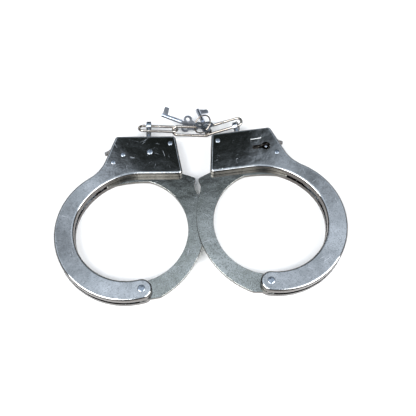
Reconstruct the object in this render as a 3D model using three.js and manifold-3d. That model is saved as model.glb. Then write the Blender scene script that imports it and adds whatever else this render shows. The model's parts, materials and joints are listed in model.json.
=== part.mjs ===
// A pair of plated pressed-steel handcuffs joined by three wire links, with two barrel keys on a ring.
// Millimetres, +Z up. The cuffs lie flat, their openings side by side along X, the chain on the +Y side.
//
// Each cuff is built in its own frame: the front (keyhole) face looks towards +Z, the mid-plane is z = 0,
// the origin is the centre of the wrist opening, the housing is towards +Y and the fixed arm is on +X.

import * as THREE from 'three';
import Module from 'manifold-3d';

const wasm = await Module();
wasm.setup();
const { Manifold, CrossSection, Mesh: SolidMesh } = wasm;

// ---------- driving dimensions ----------

const CUFF_THICKNESS = 10;          // outside of one cheek to outside of the other
const SHEET = 0.9;                  // sheet metal of the cheeks
const SLOT = 2.6;                   // open slot between the two cheeks' flanges
const EDGE_RADIUS = 1.1;            // pressed radius between a cheek's face and its flange
const HALF = CUFF_THICKNESS / 2;
const MID_GAP = 0.15;               // each deep flange stops this far from the mid-plane
const SEAT = 0.05;                  // clearance under a rivet head
const FIT = 0.12;                   // radial clearance of a fixed shaft in its hole
const RUN = 0.3;                    // clearance between moving pieces

const PIVOT = [-7.8, -32.3];        // strand pivot, at the end of the arm
const ARM_END_RADIUS = 5.23;
const ARM_OUTER = { centre: [0.8, -1.3], radius: 37.4 };
const OPENING = { centre: [0, 0], radius: 28 };
const OPENING_TOP = { centre: [-6.6, -3.8], radius: 35.6, joinAngle: 30 };
const NECK_RADIUS = 20;             // concave blend from the arm up to the housing's outer side
const HOUSING_TOP = 55;
const HOUSING_INNER_TOP_X = -24;
const HOUSING_INNER_FOOT_X = -28.4;
const HOUSING_OUTER_LINE = [[8.7, 54], [13.4, 40.5]];
const CORNER_RADIUS = 2;
const DEEP_FLANGE_FROM_Y = 34.2;    // above this line the two flanges close on each other
const TAB_SLOT = { at: [13, 47.3], size: [9, 9.8] };  // gap in the outer flange for the pawl's tab

const CORNER_RIVET = [-21.3, 50.3];
const SIDE_RIVET = [9.1, 39.0];
const KEY_POST = [4.0, 43.5];
const PAWL_PIN = [-10.4, 45.1];
const PIVOT_SHAFT = 1.6;            // shaft radii of the rivets and pins
const RIVET_SHAFT = 0.9;
const PAWL_PIN_SHAFT = 1.2;
const KEY_POST_SHAFT = 0.8;
const SWIVEL_X = -9.2;
const KEYHOLE_RADIUS = 2.4;
const KEYHOLE_SLOT = { end: [-2.4, 43.4], width: 2.3 };
const PRESSED_BAR = { ends: [[-3.1, 48.7], [1.9, 48.9]], foot: 1.3, top: 0.5, height: 0.25 };

const STRAND_THICKNESS = 2.0;
const STRAND_OUTER = { centre: [5.35, 3.34], radius: 45.08 };
const STRAND_INNER = { centre: [-1.97, 1.06], radius: 29.16 };
const STRAND_ROOT_RADIUS = 4.9;
const BAR_OUTER_RADIUS = 69.0;      // toothed bar, measured from the pivot
const BAR_INNER_RADIUS = 61.3;
const BAR_SHOULDER_ANGLE = 113.3;   // degrees about the pivot
const BAR_TIP_ANGLE = 70.5;
const TOOTH = { count: 14, pitch: 1.75, first: 73.5, depth: 1.1 };

const PAWL_THICKNESS = 2.0;
const PAWL_EYE_RADIUS = 3.2;

const LINK = { length: 22.4, width: 6.6, wire: 0.72 };
const KEY_RING = { radius: 5.3, wire: 0.4 };
const WIRE_GAP = 0.3;               // butt joint of a bent wire

const RIGHT_SWIVEL = { out: -3.6, turn: -25 };  // pushed in and turned by the link's pull
const RIGHT_CUFF_TURN = 8.6;        // degrees about Z
const RIGHT_CUFF_TILT = 1.75;       // degrees about Y: its strand lies on the other cuff's strand

// ---------- materials ----------

const FINISH = {
  plate: { color: 0xb9bdc2, roughness: 0.16, metalness: 1 },
  strand: { color: 0xa9aca8, roughness: 0.3, metalness: 1 },
  rivet: { color: 0xd2d6da, roughness: 0.22, metalness: 1 },
  lock: { color: 0x6f6d68, roughness: 0.45, metalness: 1 },
  wire: { color: 0xa39a90, roughness: 0.24, metalness: 1 },
  key: { color: 0xb4c0cf, roughness: 0.34, metalness: 1 },
};

function finish(name) {
  return new THREE.MeshStandardMaterial(FINISH[name]);
}

// ---------- small helpers ----------

const rad = THREE.MathUtils.degToRad;

function polar(centre, radius, degrees) {
  return [centre[0] + radius * Math.cos(rad(degrees)), centre[1] + radius * Math.sin(rad(degrees))];
}

function angleOf(from, to) {
  return THREE.MathUtils.radToDeg(Math.atan2(to[1] - from[1], to[0] - from[0]));
}

function distance(a, b) {
  return Math.hypot(a[0] - b[0], a[1] - b[1]);
}

function geometryOf(solid) {
  const mesh = solid.getMesh();
  const geometry = new THREE.BufferGeometry();
  geometry.setAttribute('position', new THREE.BufferAttribute(new Float32Array(mesh.vertProperties), 3));
  geometry.setIndex(new THREE.BufferAttribute(new Uint32Array(mesh.triVerts), 1));
  geometry.computeVertexNormals();
  return geometry;
}

function solidOf(points, triangles) {
  const mesh = new SolidMesh({
    numProp: 3,
    vertProperties: new Float32Array(points.flat()),
    triVerts: new Uint32Array(triangles.flat()),
  });
  mesh.merge();
  return new Manifold(mesh);
}

function disc(centre, radius, segments = 48) {
  return CrossSection.circle(radius, segments).translate(centre);
}

function slab(section, z0, z1) {
  return section.extrude(z1 - z0).translate([0, 0, z0]);
}

function polygon(points) {
  const area = points.reduce((sum, p, i) => {
    const q = points[(i + 1) % points.length];
    return sum + p[0] * q[1] - q[0] * p[1];
  }, 0);
  return new CrossSection([area > 0 ? points : [...points].reverse()]);
}

function capsule(a, b, width, segments = 24) {
  return CrossSection.hull([disc(a, width / 2, segments), disc(b, width / 2, segments)]);
}

function sector(centre, radius, from, to) {
  const points = [centre];
  const steps = 12;
  for (let i = 0; i <= steps; i++) points.push(polar(centre, radius, from + (to - from) * i / steps));
  return polygon(points);
}

// Solid of revolution about +Z from [radius, z] pairs that start and end on the axis or close on themselves.
function turned(profile, segments = 24) {
  return polygon(profile).revolve(segments);
}

// A round wire along flat points, open at its ends.
function wireAlong(points, radius, sides = 10) {
  const rings = points.map((point, i) => {
    const before = points[Math.max(i - 1, 0)];
    const after = points[Math.min(i + 1, points.length - 1)];
    const along = new THREE.Vector2(after[0] - before[0], after[1] - before[1]).normalize();
    return Array.from({ length: sides }, (_, k) => {
      const turn = 2 * Math.PI * k / sides;
      const out = radius * Math.cos(turn);
      return [point[0] + along.y * out, point[1] - along.x * out, radius * Math.sin(turn)];
    });
  });
  const vertices = rings.flat();
  const triangles = [];
  for (let i = 0; i + 1 < rings.length; i++) {
    for (let k = 0; k < sides; k++) {
      const a = i * sides + k;
      const b = i * sides + (k + 1) % sides;
      triangles.push([a, a + sides, b], [b, a + sides, b + sides]);
    }
  }
  const last = (rings.length - 1) * sides;
  for (let k = 1; k + 1 < sides; k++) {
    triangles.push([0, k, k + 1], [last, last + k + 1, last + k]);
  }
  const solid = solidOf(vertices, triangles);
  if (solid.volume() > 0) return solid;
  return solidOf(vertices, triangles.map(([a, b, c]) => [a, c, b]));
}

function piece(parent, name, finishName, solid) {
  const mesh = new THREE.Mesh(geometryOf(solid), finish(finishName));
  mesh.name = name;
  parent.add(mesh);
  return mesh;
}

// ---------- the cheek's outline ----------

// Points with outward normals, anticlockwise, from a list of arcs; straight edges join them.
function outlineFromArcs(arcs, step = 7) {
  const points = [];
  for (const { centre, radius, from, to } of arcs) {
    const convex = to > from;
    const count = Math.max(2, Math.ceil(Math.abs(to - from) / (radius < 8 ? 3 * step : step)));
    for (let i = 0; i <= count; i++) {
      const angle = from + (to - from) * i / count;
      const sign = convex ? 1 : -1;
      points.push({
        at: polar(centre, radius, angle),
        normal: [sign * Math.cos(rad(angle)), sign * Math.sin(rad(angle))],
      });
    }
  }
  return points.filter((point, i) => {
    const next = points[(i + 1) % points.length];
    return distance(point.at, next.at) > 0.02;
  });
}

// Rounds the corner at b between the directions to a and c.
function cornerArc(a, b, c, radius) {
  const towards = (p) => {
    const length = distance(b, p);
    return [(p[0] - b[0]) / length, (p[1] - b[1]) / length];
  };
  const [u, v] = [towards(a), towards(c)];
  const half = Math.acos(u[0] * v[0] + u[1] * v[1]) / 2;
  const reach = radius / Math.sin(half);
  const middle = [u[0] + v[0], u[1] + v[1]];
  const size = Math.hypot(...middle);
  const centre = [b[0] + middle[0] / size * reach, b[1] + middle[1] / size * reach];
  const foot = radius / Math.tan(half);
  const from = angleOf(centre, [b[0] + u[0] * foot, b[1] + u[1] * foot]);
  let to = angleOf(centre, [b[0] + v[0] * foot, b[1] + v[1] * foot]);
  while (to < from) to += 360;
  return { centre, radius, from, to };
}

function cheekOutline() {
  const footY = OPENING_TOP.centre[1] + OPENING_TOP.radius;
  const foot = [HOUSING_INNER_FOOT_X, footY];
  const innerTop = [HOUSING_INNER_TOP_X, HOUSING_TOP];
  const [high, low] = HOUSING_OUTER_LINE;
  const slope = (low[0] - high[0]) / (low[1] - high[1]);
  const outerTop = [high[0] + slope * (HOUSING_TOP - high[1]), HOUSING_TOP];

  // Concave neck: tangent to the housing's outer side and to the arm's outer arc.
  const length = distance(high, low);
  const down = [(low[0] - high[0]) / length, (low[1] - high[1]) / length];
  const out = [-down[1], down[0]];
  const start = [low[0] + out[0] * NECK_RADIUS, low[1] + out[1] * NECK_RADIUS];
  const reach = ARM_OUTER.radius + NECK_RADIUS;
  const rel = [start[0] - ARM_OUTER.centre[0], start[1] - ARM_OUTER.centre[1]];
  const b = rel[0] * down[0] + rel[1] * down[1];
  const c = rel[0] ** 2 + rel[1] ** 2 - reach ** 2;
  const slide = -b - Math.sqrt(b * b - c);
  const neck = [start[0] + down[0] * slide, start[1] + down[1] * slide];
  const neckFoot = angleOf(ARM_OUTER.centre, neck);
  const neckTop = angleOf([0, 0], [-out[0], -out[1]]);

  return outlineFromArcs([
    cornerArc(innerTop, foot, [0, footY], CORNER_RADIUS),
    { ...OPENING_TOP, from: 90, to: OPENING_TOP.joinAngle },
    { ...OPENING, from: OPENING_TOP.joinAngle, to: angleOf(OPENING.centre, PIVOT) },
    {
      centre: PIVOT,
      radius: ARM_END_RADIUS,
      from: angleOf(PIVOT, OPENING.centre),
      to: angleOf(ARM_OUTER.centre, PIVOT) + 360,
    },
    { ...ARM_OUTER, from: angleOf(ARM_OUTER.centre, PIVOT), to: neckFoot },
    { centre: neck, radius: NECK_RADIUS, from: neckFoot + 180, to: (neckTop + 360) % 360 },
    cornerArc(low, outerTop, innerTop, CORNER_RADIUS),
    cornerArc(outerTop, innerTop, foot, CORNER_RADIUS),
  ]);
}

const OUTLINE = cheekOutline();

function outlineSection(inset) {
  return polygon(OUTLINE.map(({ at, normal }) => [at[0] - normal[0] * inset, at[1] - normal[1] * inset]));
}

// ---------- cheeks ----------

// The pressed dish of a cheek, its face outwards on +Z: a face with a flange turned down all round.
function pressedDish(flangeFoot) {
  const loops = [
    [SHEET, HALF - SHEET],
    [SHEET, flangeFoot],
    [0, flangeFoot],
    [0, HALF - EDGE_RADIUS],
  ];
  for (const angle of [30, 60, 90]) {
    loops.push([
      EDGE_RADIUS * (1 - Math.cos(rad(angle))),
      HALF - EDGE_RADIUS + EDGE_RADIUS * Math.sin(rad(angle)),
    ]);
  }
  const count = OUTLINE.length;
  const vertices = loops.flatMap(([inset, z]) => OUTLINE.map(({ at, normal }) => [
    at[0] - normal[0] * inset,
    at[1] - normal[1] * inset,
    z,
  ]));
  const triangles = [];
  for (let loop = 0; loop + 1 < loops.length; loop++) {
    for (let i = 0; i < count; i++) {
      const a = loop * count + i;
      const b = loop * count + (i + 1) % count;
      triangles.push([a, b, b + count], [a, b + count, a + count]);
    }
  }
  const cap = (loop, upwards) => {
    const base = loop * count;
    const flat = vertices.slice(base, base + count).map(([x, y]) => new THREE.Vector2(x, y));
    for (const [a, b, c] of THREE.ShapeUtils.triangulateShape(flat, [])) {
      triangles.push(upwards ? [base + a, base + b, base + c] : [base + a, base + c, base + b]);
    }
  };
  cap(loops.length - 1, true);
  cap(0, false);
  return solidOf(vertices, triangles);
}

// The flange round the housing is deeper: it reaches the mid-plane.
function deepFlange() {
  const ring = outlineSection(0).subtract(outlineSection(SHEET));
  const region = polygon([[-40, DEEP_FLANGE_FROM_Y], [40, DEEP_FLANGE_FROM_Y], [40, 60], [-40, 60]]);
  return slab(ring.intersect(region), MID_GAP, SLOT / 2 + 0.2);
}

function cheekBlank() {
  const swivelBore = Manifold.cylinder(6, SWIVEL.radius + RUN, SWIVEL.radius + RUN, 24)
    .rotate([90, 0, 0])
    .translate([SWIVEL_X, HOUSING_TOP + 2, 0]);
  const tabSlot = Manifold.cube([...TAB_SLOT.size, SLOT], true).translate([...TAB_SLOT.at, 0]);
  const holes = [
    slab(disc(PIVOT, PIVOT_SHAFT + FIT, 24), 0, HALF + 1),
    slab(disc(CORNER_RIVET, RIVET_SHAFT + FIT, 16), 0, HALF + 1),
    slab(disc(SIDE_RIVET, RIVET_SHAFT + FIT, 16), 0, HALF + 1),
  ];
  return pressedDish(SLOT / 2).add(deepFlange()).subtract(Manifold.union([swivelBore, tabSlot, ...holes]));
}

function frontCheek() {
  const keyhole = disc(KEY_POST, KEYHOLE_RADIUS, 28).add(capsule(KEY_POST, KEYHOLE_SLOT.end, KEYHOLE_SLOT.width));
  const bar = Manifold.hull([
    slab(capsule(...PRESSED_BAR.ends, PRESSED_BAR.foot, 16), HALF - 0.3, HALF),
    slab(capsule(...PRESSED_BAR.ends, PRESSED_BAR.top, 16), HALF, HALF + PRESSED_BAR.height),
  ]);
  return cheekBlank().subtract(slab(keyhole, 0, HALF + 1)).add(bar);
}

function rearCheek() {
  const holes = disc(PAWL_PIN, PAWL_PIN_SHAFT + FIT, 16).add(disc(KEY_POST, KEY_POST_SHAFT + FIT, 16));
  return cheekBlank().subtract(slab(holes, 0, HALF + 1)).rotate([0, 180, 0]).mirror([1, 0, 0]);
}

// ---------- strand ----------

function strandSection() {
  const crescent = disc(STRAND_OUTER.centre, STRAND_OUTER.radius, 140)
    .subtract(disc(STRAND_INNER.centre, STRAND_INNER.radius, 100))
    .intersect(disc(PIVOT, BAR_INNER_RADIUS + 1, 160));
  // The crescent counts left of these lines; a slice of it next to the pivot starts the root's blend.
  const limb = crescent.intersect(polygon([
    [-60, 50], [-60, -60], [-17.5, -60], [-17.5, 0], [-10.5, 0], [-10.5, 50],
  ]));
  const neckSlice = crescent.intersect(polygon([[-20, -20], [-20, -60], [-17, -60], [-17, -20]]));
  // A small step at the shoulder, where the crescent meets the toothed bar.
  const heel = polygon([[-34.9, 30], [-34.1, 26.8], [-34.9, 23.8], [-30, 20], [-26, 26], [-28, 30]]);
  const root = CrossSection.hull([disc(PIVOT, STRAND_ROOT_RADIUS, 32), neckSlice])
    .subtract(disc(STRAND_INNER.centre, STRAND_INNER.radius, 100));
  const bar = disc(PIVOT, BAR_OUTER_RADIUS, 180)
    .subtract(disc(PIVOT, BAR_INNER_RADIUS, 160))
    .intersect(sector(PIVOT, 90, BAR_TIP_ANGLE, BAR_SHOULDER_ANGLE));
  const soft = limb.add(heel).add(root).add(bar)
    .offset(1.6, 'Round', 2, 32).offset(-2.8, 'Round', 2, 32).offset(1.2, 'Round', 2, 32);
  const teeth = Array.from({ length: TOOTH.count }, (_, i) => {
    const angle = TOOTH.first + i * TOOTH.pitch;
    const depth = BAR_OUTER_RADIUS - TOOTH.depth;
    const clear = BAR_OUTER_RADIUS + 0.3;
    return polygon([
      polar(PIVOT, depth, angle),
      polar(PIVOT, clear, angle + 0.05),
      polar(PIVOT, clear, angle + TOOTH.pitch * 0.86),
    ]);
  });
  return soft.subtract(CrossSection.union(teeth)).subtract(disc(PIVOT, PIVOT_SHAFT + RUN, 24)).simplify(0.02);
}

// ---------- lock ----------

// The pawl's toothed foot rests just clear of the strand's teeth; its tab comes out through the flange.
function pawlSection() {
  const body = polygon([
    [-9.5, 47.5], [-5.5, 48.0], [6.5, 49.4], [12.3, 48.6], [12.3, 46.6], [3.5, 46.4], [-9.5, 42.6],
  ]);
  const tab = capsule([11.6, 47.5], [13.7, 46.6], 1.6, 16);
  const foot = polygon([[-8.6, 44], [0.4, 46], [0.6, 36], [-7.2, 36], [-9, 42]])
    .add(sector(PIVOT, BAR_OUTER_RADIUS + 3.5, 84.5, 90.9))
    .subtract(disc(PIVOT, BAR_OUTER_RADIUS + 0.28, 180));
  const blank = disc(PAWL_PIN, PAWL_EYE_RADIUS, 32).add(body).add(tab).add(foot)
    .intersect(disc([0, 45], 30, 48).subtract(disc(PIVOT, BAR_OUTER_RADIUS + 0.28, 180)));
  const notches = [0, 1, 2].map((i) => {
    const angle = 85.2 + i * TOOTH.pitch;
    return polygon([
      polar(PIVOT, BAR_OUTER_RADIUS + 0.1, angle),
      polar(PIVOT, BAR_OUTER_RADIUS + 0.1, angle + TOOTH.pitch * 0.86),
      polar(PIVOT, BAR_OUTER_RADIUS + 1.2, angle + TOOTH.pitch * 0.86),
    ]);
  });
  return blank.subtract(CrossSection.union(notches)).subtract(disc(PAWL_PIN, PAWL_PIN_SHAFT + RUN, 20));
}

// A bowed strip between the housing's top wall and the pawl's back.
const SPRING = { middle: [1.6, 50.1], halfSpan: 5.4, bow: 3.3, strip: 0.4, width: 1.8 };

function springSection() {
  const steps = 12;
  const path = Array.from({ length: steps + 1 }, (_, i) => {
    const along = 2 * i / steps - 1;
    return [SPRING.middle[0] + along * SPRING.halfSpan, SPRING.middle[1] + SPRING.bow * along * along];
  });
  return CrossSection.union(path.slice(1).map((p, i) => capsule(path[i], p, SPRING.strip, 8)));
}

// ---------- rivets, sleeves and posts ----------

function rivetProfile(shaft, head, dome, z0, z1) {
  const bottom = [[0, z0 - dome], [head * 0.55, z0 - dome * 0.82], [head * 0.88, z0 - dome * 0.4], [head, z0]];
  const top = [[head, z1], [head * 0.88, z1 + dome * 0.4], [head * 0.55, z1 + dome * 0.82], [0, z1 + dome]];
  return [...bottom, [shaft, z0], [shaft, z1], ...top];
}

function rivet(at, shaft, head, dome) {
  return turned(rivetProfile(shaft, head, dome, -HALF - SEAT, HALF + SEAT), 20).translate([...at, 0]);
}

function sleeve(at, inner, outer, z0, z1) {
  return slab(disc(at, outer, 20).subtract(disc(at, inner, 20)), z0, z1);
}

// A pin set in the rear cheek only, domed outside.
function rearPin(at, shaft, head, dome, topZ) {
  const base = -HALF - SEAT;
  const profile = [
    [0, base - dome], [head * 0.55, base - dome * 0.82], [head * 0.88, base - dome * 0.4],
    [head, base], [shaft, base], [shaft, topZ - 0.3], [shaft - 0.3, topZ], [0, topZ],
  ];
  return turned(profile, 20).translate([...at, 0]);
}

// ---------- swivel ----------

// A headed post that turns and slides in the housing's top wall, with a bored eye for the link outside.
const SWIVEL = {
  radius: 1.4,
  headRadius: 2.4,
  headY: 52.1,
  head: 0.9,
  eyeY: 64,
  eyeRadius: 2.6,
  eyeWidth: 2.5,
  bore: 1.35,
};

function swivel(out, turn) {
  const { radius, headRadius, headY, head, eyeY, eyeRadius, eyeWidth, bore } = SWIVEL;
  const upright = (length, r) => Manifold.cylinder(length, r, r, 20).rotate([-90, 0, 0]).translate([0, headY, 0]);
  const across = (width, r) => Manifold.cylinder(width, r, r, 24, true).rotate([0, 90, 0]).translate([0, eyeY, 0]);
  const shaft = upright(eyeY - bore - headY + 0.2, radius);
  return Manifold.union([shaft, upright(head, headRadius), across(eyeWidth, eyeRadius)])
    .subtract(across(eyeWidth + 2, bore))
    .rotate([0, turn, 0])
    .translate([SWIVEL_X, out, 0]);
}

function swivelWasher() {
  return slab(disc([0, 0], 2.9, 24).subtract(disc([0, 0], SWIVEL.radius + FIT, 24)), 0, 0.7)
    .rotate([-90, 0, 0]).translate([SWIVEL_X, 53.1, 0]);
}

// ---------- one cuff ----------

function buildCuff(side, swivelOut, swivelTurn) {
  const cuff = new THREE.Group();
  const add = (name, finishName, solid) => piece(cuff, `${side}_${name}`, finishName, solid);
  const plateInside = HALF - SHEET;
  const halfStrand = STRAND_THICKNESS / 2;
  const halfPawl = PAWL_THICKNESS / 2;

  add('front_cheek', 'plate', frontCheek());
  add('rear_cheek', 'plate', rearCheek());
  add('strand', 'strand', slab(strandSection(), -halfStrand, halfStrand));

  add('pivot_rivet', 'rivet', rivet(PIVOT, PIVOT_SHAFT, 1.95, 0.35));
  add('pivot_washer_front', 'rivet', sleeve(PIVOT, PIVOT_SHAFT + FIT, 3.4, halfStrand + RUN, plateInside - SEAT));
  add('pivot_washer_rear', 'rivet', sleeve(PIVOT, PIVOT_SHAFT + FIT, 3.4, SEAT - plateInside, -halfStrand - RUN));

  add('corner_rivet', 'rivet', rivet(CORNER_RIVET, RIVET_SHAFT, 1.35, 0.35));
  add('corner_sleeve', 'rivet', sleeve(CORNER_RIVET, RIVET_SHAFT + FIT, 2.1, SEAT - plateInside, plateInside - SEAT));
  add('side_rivet', 'rivet', rivet(SIDE_RIVET, RIVET_SHAFT, 1.35, 0.35));
  add('side_sleeve', 'rivet', sleeve(SIDE_RIVET, RIVET_SHAFT + FIT, 1.9, SEAT - plateInside, plateInside - SEAT));

  add('key_post', 'rivet', rearPin(KEY_POST, KEY_POST_SHAFT, 1.4, 0.35, HALF - 0.4));
  add('pawl_pin', 'rivet', rearPin(PAWL_PIN, PAWL_PIN_SHAFT, 1.7, 0.4, plateInside - RUN));
  add('pawl', 'lock', slab(pawlSection(), -halfPawl, halfPawl));
  add('pawl_spring', 'lock', slab(springSection(), -SPRING.width / 2, SPRING.width / 2));

  add('swivel', 'rivet', swivel(swivelOut, swivelTurn));
  add('swivel_washer', 'lock', swivelWasher());
  return cuff;
}

// ---------- chain ----------

// A long oval of round wire in its own XY plane, its length along X, the butt joint in one long side.
function linkSolid() {
  const bend = LINK.width / 2 - LINK.wire;
  const reach = LINK.length / 2 - LINK.wire - bend;
  const points = [[-WIRE_GAP / 2, -bend], [-reach, -bend]];
  const steps = 10;
  for (let i = 1; i <= steps; i++) points.push(polar([-reach, 0], bend, -90 - 180 * i / steps));
  points.push([reach, bend]);
  for (let i = 1; i <= steps; i++) points.push(polar([reach, 0], bend, 90 - 180 * i / steps));
  points.push([WIRE_GAP / 2, -bend]);
  return wireAlong(points, LINK.wire, 10);
}

function ringSolid() {
  const gapAngle = THREE.MathUtils.radToDeg(WIRE_GAP / KEY_RING.radius);
  const steps = 36;
  const points = [];
  for (let i = 0; i <= steps; i++) points.push(polar([0, 0], KEY_RING.radius, (360 - gapAngle) * i / steps));
  return wireAlong(points, KEY_RING.wire, 8);
}

// ---------- keys ----------

// Flat three-lobed bow in the XY plane at the origin, hollow barrel along +X, bit towards +Y at its end.
const KEY = { thickness: 0.85, lobe: 2.3, lobeAt: 3.2, hole: 1.2, web: 3.2, barrel: 1.15, bore: 0.85, reach: 16.2 };

function keySolid() {
  const lobes = [180, 300, 60].map((angle) => polar([0, 0], KEY.lobeAt, angle));
  const bow = CrossSection.union(lobes.map((at) => disc(at, KEY.lobe, 28)))
    .add(disc([0, 0], KEY.web, 24))
    .subtract(CrossSection.union(lobes.map((at) => disc(at, KEY.hole, 18))));
  const neck = polygon([[3.1, -1.1], [6, -0.9], [6, 0.9], [3.1, 1.1]]);
  const plate = slab(bow.add(neck), -KEY.thickness / 2, KEY.thickness / 2);
  const barrel = Manifold.cylinder(KEY.reach - 4.6, KEY.barrel, KEY.barrel, 20)
    .rotate([0, 90, 0]).translate([4.6, 0, 0]);
  const bore = Manifold.cylinder(5.5, KEY.bore, KEY.bore, 16).rotate([0, 90, 0]).translate([KEY.reach - 5, 0, 0]);
  const bit = slab(polygon([[KEY.reach - 3.2, 0.9], [KEY.reach - 0.3, 0.9],
    [KEY.reach - 0.3, 5.4], [KEY.reach - 2.9, 5.4]]), -0.45, 0.45);
  return Manifold.union([plate, barrel, bit]).subtract(bore);
}

// ---------- assembly ----------

const group = new THREE.Group();
const restHeight = HALF + SEAT + 0.35;

const leftCuff = buildCuff('left', 0, 0);
leftCuff.rotation.y = Math.PI;
leftCuff.position.set(-41.1, -12.4, restHeight);

const rightCuff = buildCuff('right', RIGHT_SWIVEL.out, RIGHT_SWIVEL.turn);
rightCuff.rotation.set(0, rad(RIGHT_CUFF_TILT), rad(RIGHT_CUFF_TURN), 'YZX');
rightCuff.position.set(34.5, -8.3, restHeight + 1.05);

group.add(leftCuff, rightCuff);

function place(mesh, x, y, z, rx, ry, rz) {
  mesh.position.set(x, y, z);
  mesh.rotation.set(rad(rx), rad(ry), rad(rz), 'ZYX');
}

place(piece(group, 'link_left', 'wire', linkSolid()), -26.72, 49.22, 6.42, -29.0, 2.5, -1.3);
place(piece(group, 'link_middle', 'wire', linkSolid()), -8.12, 48.73, 4.36, 57.6, 8.6, 2.4);
place(piece(group, 'link_right', 'wire', linkSolid()), 9.39, 51.34, 5.07, -6.5, -13.8, 10.7);
place(piece(group, 'key_ring', 'wire', ringSolid()), -2.23, 51.33, 7.51, 7.7, -35.1, -12.1);
place(piece(group, 'key_one', 'key', keySolid()), -9.49, 52.57, 4.86, 127.5, -7.4, 160.9);
place(piece(group, 'key_two', 'key', keySolid()), -0.79, 49.73, 7.8, -166.5, 23.1, 105.6);

// The origin is the centre of the whole set's footprint, on the surface that it lies on.
group.updateMatrixWorld(true);
const box = new THREE.Box3().setFromObject(group, true);
const centre = box.getCenter(new THREE.Vector3());
for (const child of group.children) child.position.sub(new THREE.Vector3(centre.x, centre.y, box.min.z));

export default group;
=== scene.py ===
import json
import math

import bmesh
import bpy
import numpy as np
from mathutils import Matrix, Vector
from mathutils.geometry import tessellate_polygon


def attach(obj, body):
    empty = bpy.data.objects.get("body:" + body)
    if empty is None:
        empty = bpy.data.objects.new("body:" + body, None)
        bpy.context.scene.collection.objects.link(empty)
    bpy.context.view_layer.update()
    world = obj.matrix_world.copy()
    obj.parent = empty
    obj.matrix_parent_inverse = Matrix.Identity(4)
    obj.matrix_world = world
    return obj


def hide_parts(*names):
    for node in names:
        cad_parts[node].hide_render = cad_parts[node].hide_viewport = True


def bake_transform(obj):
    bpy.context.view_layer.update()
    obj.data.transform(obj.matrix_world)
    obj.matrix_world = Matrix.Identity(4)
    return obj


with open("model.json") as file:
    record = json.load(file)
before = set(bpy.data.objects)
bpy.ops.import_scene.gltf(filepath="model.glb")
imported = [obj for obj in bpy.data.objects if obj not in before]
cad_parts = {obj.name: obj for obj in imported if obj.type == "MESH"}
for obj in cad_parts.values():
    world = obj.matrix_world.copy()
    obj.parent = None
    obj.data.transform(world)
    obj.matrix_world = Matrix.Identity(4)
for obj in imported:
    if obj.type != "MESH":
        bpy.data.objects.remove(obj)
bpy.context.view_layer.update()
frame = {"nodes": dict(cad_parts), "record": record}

MM = 0.001

# ---------------------------------------------------------------- shape of a cuff, in millimetres
# The cuff's own frame: the front face looks along +Z, the mid-plane is z = 0, the origin is the centre
# of the wrist opening, the housing is towards +Y and the fixed arm on +X.

HALF = 5.0                      # mid-plane to a cheek's face
SHEET = 0.9                     # thickness of the cheek's steel
EDGE_RADIUS = 1.1               # bend from the face to the flange
EDGE_STEPS = 9
FLAT_RIM = 0.35                 # ring of flat face next to the bend

PIVOT = Vector((-7.8, -32.3))
PAWL_PIN = Vector((-10.4, 45.1))
CORNER_RIVET = Vector((-21.3, 50.3))
SIDE_RIVET = Vector((9.1, 39.0))
KEY_POST = Vector((4.0, 43.5))

# outline of a cheek: each arc is a centre and a radius
ARM_END_RADIUS = 5.23
ARM_OUTER = (Vector((0.8, -1.3)), 37.4)
OPENING = (Vector((0, 0)), 28.0)
OPENING_TOP = (Vector((-6.6, -3.8)), 35.6)
OPENING_JOIN = 30               # degrees, where the two arcs of the opening meet
NECK_RADIUS = 20.0
CORNER_RADIUS = 2.0
HOUSING_TOP = 55.0
INNER_TOP_X = -24.0
INNER_FOOT_X = -28.4
OUTER_HIGH = Vector((8.7, 54))
OUTER_LOW = Vector((13.4, 40.5))

# spacing of the outline's points, in millimetres
ARC_SPACING = 0.55
CORNER_SPACING = 0.25
STRAIGHT_SPACING = 0.5
SAME_POINT = 0.02

# how near the mid-plane the flange reaches
SLOT_HALF = 1.3                 # beside the open slot of the arm and of the release tab
DEEP_FOOT = 0.15                # round the lock case
DEEP_FROM_Y = 34.2
TAB_SIDE_X = 8
TAB_SLOT_Y = (42.4, 52.2)
SWIVEL_X = -9.2
SWIVEL_BORE = 1.7
TOP_WALL = 1                    # points this near the top are on the wall with the swivel's bore

KEYHOLE_RADIUS = 2.4
KEYHOLE_END = Vector((-2.4, 43.4))
KEYHOLE_WIDTH = 2.3
PRESSED_BAR = (Vector((-3.1, 48.7)), Vector((1.9, 48.9)))
BAR_LEVELS = (                  # width, height above the face
    (1.25, -0.2), (1.25, 0.0), (1.0, 0.12), (0.75, 0.2), (0.45, 0.24),
)

HEAD_GAP = 0.02                 # between a cheek's face and the rim of a rivet head on it
DOME_ANGLES = (0, 12, 25, 40, 55, 70, 82)
DOME_FULLNESS = 0.8             # 1 is an ellipse, less is fuller
TIP_ROUND = 0.3                 # rounding of a pin's free end
RIVETS = (                      # node, place, shaft radius, head radius, head height
    ("pivot_rivet", PIVOT, 1.6, 1.95, 0.35),
    ("corner_rivet", CORNER_RIVET, 0.9, 1.35, 0.35),
    ("side_rivet", SIDE_RIVET, 0.9, 1.35, 0.35),
)
PINS = (                        # the same, and the height of the tip
    ("pawl_pin", PAWL_PIN, 1.2, 1.7, 0.4, 3.8),
    ("key_post", KEY_POST, 0.8, 1.4, 0.35, 4.6),
)
WELD = 0.002                    # corners of a CAD mesh nearer than this are one


def at_angle(degrees):
    return Vector((math.cos(math.radians(degrees)), math.sin(math.radians(degrees))))


def angle_to(a, b):
    return math.degrees(math.atan2(b.y - a.y, b.x - a.x))


def arc(centre, radius, start, stop, spacing=ARC_SPACING):
    """Points with outward normals along an arc; stop below start makes it a hollow curve."""
    count = max(6, int(math.radians(abs(stop - start)) * radius / spacing))
    sign = 1 if stop > start else -1
    for i in range(count + 1):
        direction = at_angle(start + (stop - start) * i / count)
        yield centre + direction * radius, direction * sign


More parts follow.
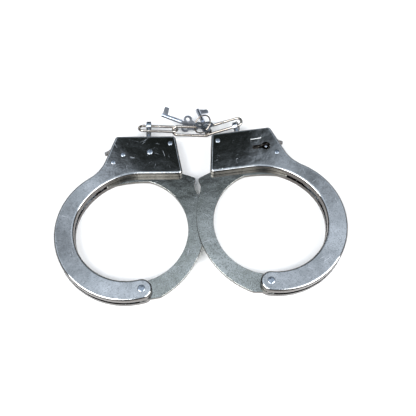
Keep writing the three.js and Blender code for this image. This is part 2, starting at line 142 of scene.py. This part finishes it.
def corner(before, at, after, radius):
    """The arc that rounds the corner of two straight lines."""
    u, v = (before - at).normalized(), (after - at).normalized()
    half = u.angle(v) / 2
    centre = at + (u + v).normalized() * radius / math.sin(half)
    foot = radius / math.tan(half)
    start, stop = angle_to(centre, at + u * foot), angle_to(centre, at + v * foot)
    return arc(centre, radius, start, stop + 360 if stop < start else stop, CORNER_SPACING)


def cheek_outline():
    """Points with outward normals, counterclockwise from the housing's inner foot."""
    foot_y = OPENING_TOP[0].y + OPENING_TOP[1]
    foot = Vector((INNER_FOOT_X, foot_y))
    inner_top = Vector((INNER_TOP_X, HOUSING_TOP))
    down = (OUTER_LOW - OUTER_HIGH).normalized()
    out = Vector((-down.y, down.x))
    outer_top = OUTER_HIGH + down * ((HOUSING_TOP - OUTER_HIGH.y) / down.y)
    # the neck's arc touches the housing's side line and the arm's outer arc
    start = OUTER_LOW + out * NECK_RADIUS
    from_arm = start - ARM_OUTER[0]
    b = from_arm.dot(down)
    c = from_arm.length_squared - (ARM_OUTER[1] + NECK_RADIUS) ** 2
    neck = start + down * (-b - math.sqrt(b * b - c))
    neck_foot = angle_to(ARM_OUTER[0], neck)
    arm_end = angle_to(ARM_OUTER[0], PIVOT)
    runs = [
        corner(inner_top, foot, Vector((0, foot_y)), CORNER_RADIUS),
        arc(*OPENING_TOP, 90, OPENING_JOIN),
        arc(*OPENING, OPENING_JOIN, angle_to(OPENING[0], PIVOT)),
        arc(PIVOT, ARM_END_RADIUS, angle_to(PIVOT, OPENING[0]), arm_end + 360),
        arc(*ARM_OUTER, arm_end, neck_foot),
        arc(neck, NECK_RADIUS, neck_foot + 180, angle_to(Vector((0, 0)), -out) % 360),
        corner(OUTER_LOW, outer_top, inner_top, CORNER_RADIUS),
        corner(outer_top, inner_top, foot, CORNER_RADIUS),
    ]
    points = [p for run in runs for p in run]
    dense = []
    for (p, n), (q, m) in zip(points, points[1:] + points[:1]):
        gap = (q - p).length
        if gap < SAME_POINT:
            continue
        steps = round(gap / STRAIGHT_SPACING) if gap > 2 * STRAIGHT_SPACING else 1
        dense.append((p, n))
        dense += [(p.lerp(q, i / steps), (n + m).normalized()) for i in range(1, steps)]
    return dense


def flange_foot(point):
    """How near the mid-plane the flange reaches at a point of the outline."""
    x, y = point
    if y < DEEP_FROM_Y or (x > TAB_SIDE_X and TAB_SLOT_Y[0] < y < TAB_SLOT_Y[1]):
        return SLOT_HALF
    across = abs(x - SWIVEL_X)
    if y > HOUSING_TOP - TOP_WALL and across < SWIVEL_BORE:
        return max(DEEP_FOOT, math.sqrt(SWIVEL_BORE ** 2 - across ** 2))
    return DEEP_FOOT


def rounded_bar(a, b, width, end_steps=10):
    """A flat outline with round ends, with as many points for every width."""
    along = angle_to(a, b)
    turns = [180 * i / end_steps for i in range(end_steps + 1)]
    ends = ((b, along - 90), (a, along + 90))
    return [centre + at_angle(start + turn) * width / 2 for centre, start in ends for turn in turns]


def keyhole():
    """Round hole for the key's barrel with a slot for its bit."""
    along = angle_to(KEY_POST, KEYHOLE_END)
    open_half = math.degrees(math.asin(KEYHOLE_WIDTH / 2 / KEYHOLE_RADIUS))
    round_part = arc(KEY_POST, KEYHOLE_RADIUS, along + open_half, along + 360 - open_half, spacing=0.2)
    end = arc(KEYHOLE_END, KEYHOLE_WIDTH / 2, along - 90, along + 90, spacing=0.15)
    return [p for p, _ in round_part] + [p for p, _ in end]


# ---------------------------------------------------------------- mesh helpers

def piece(name, bm, material, matrix=None):
    """An object from a bmesh, which it frees; a mirroring matrix has its faces turned back."""
    bmesh.ops.recalc_face_normals(bm, faces=bm.faces)
    mesh = bpy.data.meshes.new(name)
    bm.to_mesh(mesh)
    bm.free()
    if matrix:
        mesh.transform(matrix)
        if matrix.determinant() < 0:
            mesh.flip_normals()
    obj = bpy.data.objects.new(name, mesh)
    bpy.context.scene.collection.objects.link(obj)
    mesh.materials.append(material)
    mesh.shade_smooth()
    return obj


def soften(obj, width, segments=3, angle=40):
    """A small round on the hard edges, with flat faces left flat."""
    bevel = obj.modifiers.new("edges", "BEVEL")
    bevel.width = width * MM
    bevel.segments = segments
    bevel.limit_method = "ANGLE"
    bevel.angle_limit = math.radians(angle)
    bevel.harden_normals = True
    normals = obj.modifiers.new("normals", "WEIGHTED_NORMAL")
    normals.weight = 80
    normals.keep_sharp = True


def strip(bm, lower, upper):
    """A closed band of faces between two rings of as many corners."""
    for i in range(len(lower)):
        j = (i + 1) % len(lower)
        bm.faces.new((lower[i], lower[j], upper[j], upper[i]))


def fill(bm, rings):
    """A flat face inside the first ring, with the others as holes."""
    flat = [v for ring in rings for v in ring]
    for triangle in tessellate_polygon([[v.co for v in ring] for ring in rings]):
        bm.faces.new([flat[i] for i in triangle])


def pressed_cheek(holes):
    """A dished plate with its face on +Z; holes are lists of flat points."""
    outline = cheek_outline()
    bm = bmesh.new()

    def ring(inset, height):
        return [bm.verts.new((*(p - n * inset), height(p))) for p, n in outline]

    def level(z):
        return lambda p: z

    outer = [ring(0, flange_foot), ring(0, level(HALF - EDGE_RADIUS))]
    for i in range(1, EDGE_STEPS + 1):
        turn = math.pi / 2 * i / EDGE_STEPS
        inset = EDGE_RADIUS * (1 - math.cos(turn))
        outer.append(ring(inset, level(HALF - EDGE_RADIUS + EDGE_RADIUS * math.sin(turn))))
    outer.append(ring(EDGE_RADIUS + FLAT_RIM, level(HALF)))
    inner = [ring(SHEET, flange_foot), ring(SHEET, level(HALF - SHEET))]
    for lower, upper in zip(outer, outer[1:]):
        strip(bm, lower, upper)
    strip(bm, inner[1], inner[0])
    strip(bm, inner[0], outer[0])
    tops = [[bm.verts.new((*p, HALF)) for p in hole] for hole in holes]
    feet = [[bm.verts.new((*p, HALF - SHEET)) for p in hole] for hole in holes]
    for top, foot in zip(tops, feet):
        strip(bm, top, foot)
    fill(bm, [outer[-1]] + tops)
    fill(bm, [inner[1]] + feet)
    return bm


def press_bar(bm):
    """A low bar pressed out of the cheek's face."""
    rings = []
    for width, height in BAR_LEVELS:
        rings.append([bm.verts.new((*p, HALF + height)) for p in rounded_bar(*PRESSED_BAR, width)])
    for lower, upper in zip(rings, rings[1:]):
        strip(bm, lower, upper)
    bm.faces.new(rings[0])
    bm.faces.new(rings[-1])
    return bm


def turned(profile, steps=40):
    """A solid of revolution about Z from (radius, z) pairs, the first and last on the axis."""
    bm = bmesh.new()
    bottom = bm.verts.new((0, 0, profile[0][1]))
    top = bm.verts.new((0, 0, profile[-1][1]))
    rings = [
        [bm.verts.new((*(at_angle(360 * k / steps) * r), z)) for k in range(steps)]
        for r, z in profile[1:-1]
    ]
    for lower, upper in zip(rings, rings[1:]):
        strip(bm, lower, upper)
    for k in range(steps):
        bm.faces.new((bottom, rings[0][(k + 1) % steps], rings[0][k]))
        bm.faces.new((top, rings[-1][k], rings[-1][(k + 1) % steps]))
    return bm


def dome(radius, height, z, up):
    """Profile of a low rivet head from its rim at z to its crown."""
    steps = [math.radians(a) for a in DOME_ANGLES]
    rim = [(radius * math.cos(a) ** DOME_FULLNESS, z + up * height * math.sin(a)) for a in steps]
    return rim + [(0, z + up * height)]


def copied(node, material):
    """A new mesh with a CAD node's shape, its facets merged, ready for rounding."""
    bm = bmesh.new()
    bm.from_mesh(frame["nodes"][node].data)
    bm.transform(frame["nodes"][node].matrix_world)
    bmesh.ops.remove_doubles(bm, verts=bm.verts, dist=WELD * MM)
    bmesh.ops.dissolve_limit(bm, angle_limit=math.radians(1), verts=bm.verts, edges=bm.edges)
    return piece(f"{node}_look", bm, material)


# ---------------------------------------------------------------- materials

SCRATCH_TURNS = (0.35, 1.3, 2.2, 2.8)           # radians
SCRATCH_SIZE = (0.0008, 0.012, 0.012)           # metres: across a scratch, then along it
CLOUD = (70, 4, 0.6)                            # noise: features to a metre, detail, roughness
BLOTCH = (260, 3, 0.6)
SPECKLE = (1400, 2, 0.6)
GRAIN = (3200, 2, 0.6)
SHEET_WAVE = (85, 3, 0.45)
WAVE_DEPTH = 0.32                               # millimetres
FINE_DEPTH = 0.01
# colour of the painted shade on the side walls
SIDE_SHADE_COLOUR = (0.055, 0.042, 0.033)
BARE_SPECK = (0.95, 0.97, 1.0)
BARE_SCRATCH = (0.97, 0.98, 1.0)
SCRATCH_WHITENS = 0.6
SCRATCH_ROUGHENS = 0.25
GRAIN_ROUGHENS = 0.05
# how much rougher the painted shade makes the side walls
SIDE_SHADE_ROUGHENS = 0.18
ROUGH_SPREAD = (0.85, 1.2)                      # shares of the roughness, over the clouds
BLOTCH_DEPTH = 0.40
BLOTCH_SHADE = 0.72                             # shares of the dark colour
SPECKLE_SHADE = 0.55


class Nodes:
    """A short hand for building the node tree of a material or a world."""

    def __init__(self, owner, coordinates):
        owner.use_nodes = True
        self.tree = owner.node_tree
        self.where = self.add("ShaderNodeTexCoord").outputs[coordinates]

    def add(self, kind, **settings):
        node = self.tree.nodes.new(kind)
        for key, value in settings.items():
            setattr(node, key, value)
        return node

    def link(self, a, b):
        self.tree.links.new(a, b)

    def stretched(self, size, rotation):
        """Coordinates turned, then divided by the size of a feature along each axis."""
        mapping = self.add("ShaderNodeMapping", vector_type="TEXTURE")
        mapping.inputs["Scale"].default_value = size
        mapping.inputs["Rotation"].default_value = rotation
        self.link(self.where, mapping.inputs["Vector"])
        return mapping.outputs["Vector"]

    def noise(self, scale, detail=4, roughness=0.55, vector=None):
        node = self.add("ShaderNodeTexNoise")
        node.inputs["Scale"].default_value = scale
        node.inputs["Detail"].default_value = detail
        node.inputs["Roughness"].default_value = roughness
        self.link(vector or self.where, node.inputs["Vector"])
        return node.outputs["Fac"]

    def ramp(self, value, low, high, out_low=0.0, out_high=1.0):
        node = self.add("ShaderNodeMapRange")
        node.clamp = True
        limits = {"From Min": low, "From Max": high, "To Min": out_low, "To Max": out_high}
        for socket, number in limits.items():
            node.inputs[socket].default_value = number
        self.link(value, node.inputs["Value"])
        return node.outputs["Result"]

    def maths(self, operation, a, b=0):
        node = self.add("ShaderNodeMath", operation=operation)
        for socket, value in zip(node.inputs, (a, b)):
            if isinstance(value, (int, float)):
                socket.default_value = value
            else:
                self.link(value, socket)
        return node.outputs[0]

    def mix(self, factor, a, b):
        node = self.add("ShaderNodeMix", data_type="RGBA")
        # the colour sockets share their names with the number and vector sockets
        colour_a, colour_b, result = node.inputs[6], node.inputs[7], node.outputs[2]
        for socket, value in ((node.inputs["Factor"], factor), (colour_a, a), (colour_b, b)):
            if isinstance(value, tuple):
                socket.default_value = (*value, 1)
            elif isinstance(value, (int, float)):
                socket.default_value = value
            else:
                self.link(value, socket)
        return result

    def bump(self, height, strength, distance, under=None):
        node = self.add("ShaderNodeBump")
        node.inputs["Strength"].default_value = strength
        node.inputs["Distance"].default_value = distance * MM
        self.link(height, node.inputs["Height"])
        if under:
            self.link(under, node.inputs["Normal"])
        return node.outputs["Normal"]

    def scratches(self, seed):
        """Fine lines in several directions, as a mask that is 1 on a line."""
        total = None
        for i, turn in enumerate(SCRATCH_TURNS):
            across = self.stretched(SCRATCH_SIZE, (0, 0, turn + seed))
            lines = self.ramp(self.noise(1.0, 2, 0.5, across), 0.67, 0.73)
            patch = self.ramp(self.noise(110 + 31 * i, 2), 0.50, 0.60)
            one = self.maths("MULTIPLY", lines, patch)
            total = one if total is None else self.maths("MAXIMUM", total, one)
        return total


def plated(name, light, dark, rough, wave, mottle, side_shade_depth, seed):
    """Nickel plate on steel: soft sheet waves, scratches, specks, and painted brown shade on side walls.
    """
    material = bpy.data.materials.new(name)
    n = Nodes(material, "Object")
    scratch = n.scratches(seed)
    cloud = n.noise(*CLOUD)
    speckle = n.noise(*SPECKLE)
    grain = n.noise(*GRAIN)
    darker = tuple(c * BLOTCH_SHADE for c in dark)
    darkest = tuple(c * SPECKLE_SHADE for c in dark)

    # painted shade: brown where the surface turns away from the direction of the flat faces, so side
    # walls look as if they reflect dark surroundings
    facing = n.add("ShaderNodeSeparateXYZ")
    n.link(n.add("ShaderNodeTexCoord").outputs["Normal"], facing.inputs[0])
    side_shade_mask = n.ramp(n.maths("ABSOLUTE", facing.outputs["Z"]), 0.50, 0.96, side_shade_depth, 0)

    # colour
    base = n.mix(n.ramp(cloud, 0.36, 0.64), dark, light)
    base = n.mix(n.ramp(n.noise(*BLOTCH), 0.42, 0.66, 0, BLOTCH_DEPTH), base, darker)
    base = n.mix(n.ramp(speckle, 0.50, 0.70, 0, mottle), base, darkest)
    base = n.mix(n.ramp(grain, 0.60, 0.72, 0, mottle * 0.8), base, BARE_SPECK)
    base = n.mix(n.maths("MULTIPLY", scratch, SCRATCH_WHITENS), base, BARE_SCRATCH)
    # painted shade: the side walls turned brown in place of dark reflections
    base = n.mix(side_shade_mask, base, SIDE_SHADE_COLOUR)

    # roughness
    gloss = n.ramp(cloud, 0.3, 0.75, rough * ROUGH_SPREAD[0], rough * ROUGH_SPREAD[1])
    gloss = n.maths("ADD", gloss, n.maths("MULTIPLY", scratch, SCRATCH_ROUGHENS))
    gloss = n.maths("ADD", gloss, n.ramp(grain, 0.55, 0.8, 0, mottle * GRAIN_ROUGHENS))
    gloss = n.maths("ADD", gloss, n.maths("MULTIPLY", side_shade_mask, SIDE_SHADE_ROUGHENS))

    # relief
    relief = n.bump(n.noise(*SHEET_WAVE), wave, WAVE_DEPTH)
    relief = n.bump(speckle, 0.5 * mottle, FINE_DEPTH, relief)
    relief = n.bump(scratch, 0.5, FINE_DEPTH, relief)

    shader = n.tree.nodes["Principled BSDF"]
    shader.inputs["Metallic"].default_value = 1
    n.link(base, shader.inputs["Base Color"])
    n.link(gloss, shader.inputs["Roughness"])
    n.link(relief, shader.inputs["Normal"])
    return material


# the setting after mottle is how deep the painted brown shade on the side walls goes
MATERIALS = {
    "plated_cheek": plated(
        "nickel_cheek", (0.86, 0.87, 0.88), (0.64, 0.66, 0.67),
        rough=0.055, wave=0.28, mottle=0.6, side_shade_depth=0.95, seed=0.0,
    ),
    "plated_strand": plated(
        "nickel_strand", (0.64, 0.66, 0.63), (0.42, 0.44, 0.40),
        rough=0.085, wave=0.28, mottle=1.0, side_shade_depth=0.9, seed=0.7,
    ),
    "bright_rivet": plated(
        "bright_rivet", (0.58, 0.64, 0.72), (0.44, 0.50, 0.58),
        rough=0.2, wave=0.1, mottle=0.3, side_shade_depth=0.85, seed=1.1,
    ),
    "lock_steel": plated(
        "lock_steel", (0.42, 0.40, 0.38), (0.24, 0.22, 0.20),
        rough=0.38, wave=0.1, mottle=0.8, side_shade_depth=0.5, seed=1.6,
    ),
    "plated_wire": plated(
        "nickel_wire", (0.72, 0.68, 0.62), (0.48, 0.42, 0.36),
        rough=0.16, wave=0.12, mottle=0.4, side_shade_depth=0.9, seed=2.1,
    ),
    "key_zinc": plated(
        "key_zinc", (0.62, 0.69, 0.80), (0.42, 0.49, 0.60),
        rough=0.25, wave=0.18, mottle=0.6, side_shade_depth=0.6, seed=2.7,
    ),
}

# ---------------------------------------------------------------- cuffs

CHEEK_EDGE = 0.12                       # rounding of a cheek's cut edges
MOVING_PARTS = (                        # node and body, slot, rounding of the edges
    ("strand", "plated_strand", 0.22),
    ("pawl", "lock_steel", 0.15),
    ("swivel", "bright_rivet", 0.25),
)
joints = {joint["name"]: joint for joint in frame["record"]["behaviour"]["joints"]}


def cuff_frame(side):
    """Matrix from the cuff's own millimetres to the frame, from where its strand and pawl turn."""
    strand, pawl = joints[f"{side}_strand_hinge"], joints[f"{side}_pawl_hinge"]
    pivot, pin = Vector(strand["pos_m"]), Vector(pawl["pos_m"])
    up = Vector(pawl["axis"]).normalized()
    seen = (pin - pivot).normalized()
    own = (PAWL_PIN - PIVOT).normalized()
    side_axis = up.cross(seen)
    y_axis = seen * own.y + side_axis * own.x
    y_axis.normalize()
    x_axis = y_axis.cross(up)
    turn = Matrix((x_axis, y_axis, up)).transposed().to_4x4()
    origin = pivot - (x_axis * PIVOT.x + y_axis * PIVOT.y) * MM
    return Matrix.Translation(origin) @ turn @ Matrix.Scale(MM, 4)


def stand_in(obj, node, body):
    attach(obj, body)
    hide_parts(node)


def build_cheeks(side, place):
    steel = MATERIALS["plated_cheek"]
    mirrored = place @ Matrix.Scale(-1, 4, (0, 0, 1))
    front = piece(f"{side}_front_cheek_look", press_bar(pressed_cheek([keyhole()])), steel, place)
    rear = piece(f"{side}_rear_cheek_look", pressed_cheek([]), steel, mirrored)
    for obj, node in ((front, "front_cheek"), (rear, "rear_cheek")):
        soften(obj, CHEEK_EDGE, segments=2, angle=60)
        stand_in(obj, f"{side}_{node}", f"{side}_cuff")


def build_rivets(side, place):
    """Rivets with a head on each face, and pins with a head on the rear face only."""
    face = HALF + HEAD_GAP
    profiles = []
    for name, at, shaft, head, height in RIVETS:
        crown = [(shaft, face)] + dome(head, height, face, 1)
        profiles.append((name, at, shaft, dome(head, height, -face, -1), crown))
    for name, at, shaft, head, height, top in PINS:
        third = TIP_ROUND / 3
        tip = [(shaft, top - TIP_ROUND), (shaft - third, top - third), (shaft - TIP_ROUND, top), (0, top)]
        profiles.append((name, at, shaft, dome(head, height, -face, -1), tip))
    for name, at, shaft, rear_head, upper in profiles:
        profile = rear_head[::-1] + [(shaft, -face)] + upper
        spot = place @ Matrix.Translation((*at, 0))
        obj = piece(f"{side}_{name}_look", turned(profile), MATERIALS["bright_rivet"], spot)
        stand_in(obj, f"{side}_{name}", f"{side}_cuff")


def build_moving_parts(side):
    for name, slot, edge in MOVING_PARTS:
        obj = copied(f"{side}_{name}", MATERIALS[slot])
        soften(obj, edge)
        stand_in(obj, f"{side}_{name}", f"{side}_{name}")


def bend_spring(side):
    """The bowed strip behind the pawl, copied from its CAD node with its place baked into the mesh."""
    node = f"{side}_pawl_spring"
    obj = copied(node, MATERIALS["lock_steel"])
    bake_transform(obj)
    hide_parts(node)


def build_cuff(side):
    place = cuff_frame(side)
    build_cheeks(side, place)
    build_rivets(side, place)
    build_moving_parts(side)
    bend_spring(side)


build_cuff("left")
build_cuff("right")

# ---------------------------------------------------------------- chain and keys

WIRE_SIDES = 16
LINK = {"length": 22.4, "width": 6.6, "wire": 0.72}     # wire is its radius
RING = {"radius": 5.3, "wire": 0.4}
BUTT_GAP = 0.3
BEND_SPACING = 0.3
SIDE_STEPS = 16                                         # along a link's straight side
KEY_EDGE = 0.18


def own_axes(node):
    """Matrix from a CAD node's own millimetres, longest extent first, from how its corners spread."""
    obj = frame["nodes"][node]
    points = [obj.matrix_world @ v.co for v in obj.data.vertices]
    centre = sum(points, Vector()) / len(points)
    spread = [
        [sum((p[i] - centre[i]) * (p[j] - centre[j]) for p in points) for j in range(3)]
        for i in range(3)
    ]
    vectors = np.linalg.eigh(np.array(spread))[1]
    x, y = Vector(vectors[:, 2]), Vector(vectors[:, 1])
    turn = Matrix((x, y, x.cross(y))).transposed()
    local = [turn.inverted() @ (p - centre) for p in points]
    middle = Vector([(min(p[i] for p in local) + max(p[i] for p in local)) / 2 for i in range(3)])
    return Matrix.Translation(centre + turn @ middle) @ turn.to_4x4() @ Matrix.Scale(MM, 4)


def wire(path, radius):
    """A bent wire along flat points, its two cut ends facing each other across a small gap."""
    bm = bmesh.new()
    rings = []
    up = Vector((0, 0, 1))
    for i, point in enumerate(path):
        before, after = path[max(i - 1, 0)], path[min(i + 1, len(path) - 1)]
        along = (after - before).normalized()
        out = Vector((along.y, -along.x, 0))
        centre = Vector((*point, 0))
        ring = []
        for k in range(WIRE_SIDES):
            d = at_angle(360 * k / WIRE_SIDES)
            ring.append(bm.verts.new(centre + out * d.x * radius + up * d.y * radius))
        rings.append(ring)
    for lower, upper in zip(rings, rings[1:]):
        strip(bm, lower, upper)
    bm.faces.new(rings[0])
    bm.faces.new(rings[-1])
    return bm


def link_path():
    """The middle line of a long oval link, from one side of its joint round to the other."""
    bend = LINK["width"] / 2 - LINK["wire"]
    reach = LINK["length"] / 2 - LINK["wire"] - bend
    ends = [p for p, _ in arc(Vector((-reach, 0)), bend, -90, -270, BEND_SPACING)]
    ends += [p for p, _ in arc(Vector((reach, 0)), bend, 90, -90, BEND_SPACING)]
    start, stop = Vector((-BUTT_GAP / 2, -bend)), Vector((BUTT_GAP / 2, -bend))
    half_side = SIDE_STEPS // 2
    middle = len(ends) // 2
    lead = [start.lerp(ends[0], i / half_side) for i in range(half_side)]
    top = [ends[middle - 1].lerp(ends[middle], i / SIDE_STEPS) for i in range(1, SIDE_STEPS)]
    tail = [ends[-1].lerp(stop, i / half_side) for i in range(1, half_side + 1)]
    return lead + ends[:middle] + top + ends[middle:] + tail


def ring_path():
    gap = math.degrees(BUTT_GAP / RING["radius"])
    return [p for p, _ in arc(Vector((0, 0)), RING["radius"], 0, 360 - gap, BEND_SPACING)]


def build_wire(name, path, radius):
    obj = piece(f"{name}_look", wire(path, radius), MATERIALS["plated_wire"], own_axes(name))
    stand_in(obj, name, name)


for name in ("link_left", "link_middle", "link_right"):
    build_wire(name, link_path(), LINK["wire"])
build_wire("key_ring", ring_path(), RING["wire"])

for name in ("key_one", "key_two"):
    obj = copied(name, MATERIALS["key_zinc"])
    soften(obj, KEY_EDGE)
    stand_in(obj, name, name)

# CAD nodes that stay: the sleeves and washers inside the cuffs
slot_of = {part["node"]: part["material_slot"] for part in frame["record"]["subparts"]}
for name, obj in frame["nodes"].items():
    if f"{name}_look" not in bpy.data.objects:
        for material_slot in obj.material_slots:
            material_slot.material = MATERIALS[slot_of[name]]

# ---------------------------------------------------------------- floor, light and camera

FLOOR_HALF = 3


def floor():
    bm = bmesh.new()
    bmesh.ops.create_grid(bm, x_segments=1, y_segments=1, size=FLOOR_HALF)
    material = bpy.data.materials.new("floor_white")
    material.use_nodes = True
    shader = material.node_tree.nodes["Principled BSDF"]
    shader.inputs["Base Color"].default_value = (0.92, 0.92, 0.92, 1)
    shader.inputs["Roughness"].default_value = 0.9
    obj = piece("floor", bm, material)


floor()

# The ceiling as the flat faces mirror it: tangents across and down from the mirrored line of sight.
MIRRORED_ELEVATION = math.radians(66)
MIRRORED_AXIS = Vector((0, math.cos(MIRRORED_ELEVATION), math.sin(MIRRORED_ELEVATION)))
MIRRORED_DOWN = Vector((0, -MIRRORED_AXIS.z, MIRRORED_AXIS.y))
LEAST_DEPTH = 0.05
DARK_CENTRE = (0.004, -0.133)
DARK_SIZE = (0.148, 0.104)
DARK_REACH = 2                          # sizes from the centre to the last step
DARK_STEPS = (                          # share of the reach, brightness
    (0.25, 0.005), (0.36, 0.012), (0.43, 0.036), (0.49, 0.11),
    (0.54, 0.26), (0.60, 0.43), (0.72, 0.60), (1.0, 0.66),
)
CEILING_PATCHES = (                     # centre, radius, brightness at the centre
    ((-0.205, 0.025), 0.085, 0.42),
    ((0.195, -0.045), 0.050, 0.45),
    ((0.02, 0.135), 0.120, 1.60),
    ((-0.140, -0.030), 0.040, 1.30),
)
PATCH_CORE = 0.2                        # share of a patch's radius that has its full brightness
WALL_TOPS = (0.5, 0.86)                 # height in the unit sphere: the walls end, the ceiling is full
WALL_COLOUR = (0.008, 0.010, 0.008)
CEILING_COLOUR = (0.90, 1.0, 1.13)
CEILING_CLOUD = (14, 3)                 # noise: features to a unit, detail
CLOUD_BRIGHTNESS = (0.82, 1.15)


def studio():
    """A bright ceiling over a table, with a dark patch in it and dark walls low down on every side."""
    world = bpy.data.worlds.new("studio")
    bpy.context.scene.world = world
    n = Nodes(world, "Generated")

    def along(direction):
        dot = n.add("ShaderNodeVectorMath", operation="DOT_PRODUCT")
        n.link(n.where, dot.inputs[0])
        dot.inputs[1].default_value = direction
        return dot.outputs["Value"]

    depth = n.maths("MAXIMUM", along(MIRRORED_AXIS), LEAST_DEPTH)
    across = n.maths("DIVIDE", along(Vector((1, 0, 0))), depth)
    down = n.maths("DIVIDE", along(MIRRORED_DOWN), depth)

    def distance(centre, size):
        x = n.maths("DIVIDE", n.maths("SUBTRACT", across, centre[0]), size[0])
        y = n.maths("DIVIDE", n.maths("SUBTRACT", down, centre[1]), size[1])
        return n.maths("SQRT", n.maths("ADD", n.maths("POWER", x, 2), n.maths("POWER", y, 2)))

    dark = n.add("ShaderNodeValToRGB")
    n.link(n.maths("DIVIDE", distance(DARK_CENTRE, DARK_SIZE), DARK_REACH), dark.inputs["Fac"])
    elements = dark.color_ramp.elements
    while len(elements) < len(DARK_STEPS):
        elements.new(0.5)
    for element, (position, value) in zip(elements, DARK_STEPS):
        element.position = position
        element.color = (value, value, value, 1)
    light = dark.outputs["Color"]
    for centre, radius, at_centre in CEILING_PATCHES:
        patch = n.ramp(distance(centre, (radius, radius)), PATCH_CORE, 1.0, at_centre, 1)
        light = n.maths("MULTIPLY", light, patch)
    cloud = n.ramp(n.noise(*CEILING_CLOUD), 0.35, 0.65, *CLOUD_BRIGHTNESS)
    light = n.maths("MULTIPLY", light, cloud)
    height = n.add("ShaderNodeSeparateXYZ")
    n.link(n.where, height.inputs[0])
    high = n.ramp(height.outputs["Z"], *WALL_TOPS)
    colour = n.mix(n.maths("MULTIPLY", light, high), WALL_COLOUR, CEILING_COLOUR)
    n.link(colour, n.tree.nodes["Background"].inputs["Color"])


studio()

PANEL_SIZE = 1.0


def panel_light(name, at, power):
    """A square lamp that looks at the middle of the part."""
    data = bpy.data.lights.new(name, "AREA")
    data.size = PANEL_SIZE
    data.energy = power
    obj = bpy.data.objects.new(name, data)
    obj.location = at
    obj.rotation_euler = (-Vector(at)).to_track_quat("-Z", "Y").to_euler()
    bpy.context.scene.collection.objects.link(obj)


panel_light("key_light", (-0.6, -0.55, 0.95), 21)
panel_light("fill_light", (0.8, -0.45, 0.85), 19)

# the camera looks at a point given from the left cuff's origin, along the frame's own axes
CAMERA_TARGET = cuff_frame("left").translation + Vector((41.52, 11.44, 5.0)) * MM
CAMERA_ELEVATION = math.radians(65.64)
CAMERA_AZIMUTH = math.radians(-0.72)
CAMERA_ROLL = math.radians(0.19)
CAMERA_DISTANCE = 0.4104
CAMERA_LENS = 67.96
SENSOR_WIDTH = 36


def camera():
    data = bpy.data.cameras.new("camera")
    data.lens = CAMERA_LENS
    data.sensor_width = SENSOR_WIDTH
    data.clip_start = 0.01
    obj = bpy.data.objects.new("camera", data)
    flat = math.cos(CAMERA_ELEVATION)
    right = Vector((math.cos(CAMERA_AZIMUTH), math.sin(CAMERA_AZIMUTH), 0))
    back = Vector((
        math.sin(CAMERA_AZIMUTH) * flat,
        -math.cos(CAMERA_AZIMUTH) * flat,
        math.sin(CAMERA_ELEVATION),
    ))
    axes = Matrix((right, back.cross(right), back)).transposed().to_4x4()
    place = Matrix.Translation(CAMERA_TARGET + back * CAMERA_DISTANCE)
    obj.matrix_world = place @ axes @ Matrix.Rotation(CAMERA_ROLL, 4, "Z")
    bpy.context.scene.collection.objects.link(obj)
    bpy.context.scene.camera = obj


camera()
bpy.context.scene.view_settings.view_transform = "Standard"

bpy.context.view_layer.update()
